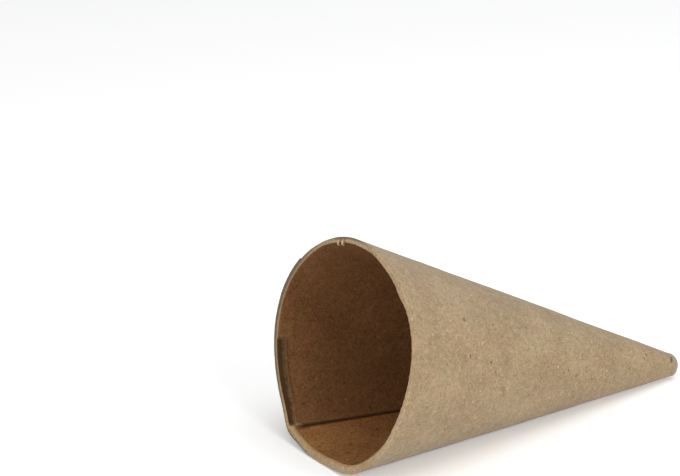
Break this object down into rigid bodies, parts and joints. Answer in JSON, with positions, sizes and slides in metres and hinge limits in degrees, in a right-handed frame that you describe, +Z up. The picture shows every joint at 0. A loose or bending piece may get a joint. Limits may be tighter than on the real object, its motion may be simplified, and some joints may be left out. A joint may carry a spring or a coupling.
{
  "type": "cone paper cup",
  "caption": "Thick-walled kraft board cone, rolled from one sheet, open at its round mouth and pressed blunt at the tip, lying on its side.",
  "frame": {"origin": "middle of the cup's footprint, on the ground that its flattened underside lies on", "axes": "+X along the cup towards its tip, +Z up, +Y across the cup to the side away from the viewer"},
  "size_m": [0.1314, 0.0722, 0.065],
  "materials": {
    "kraft_board": "uncoated brown kraft board, matte, with short fibres and a few dark specks"
  },
  "bodies": {
    "root": {"cone_cup": "kraft_board"}
  },
  "joints": []
}
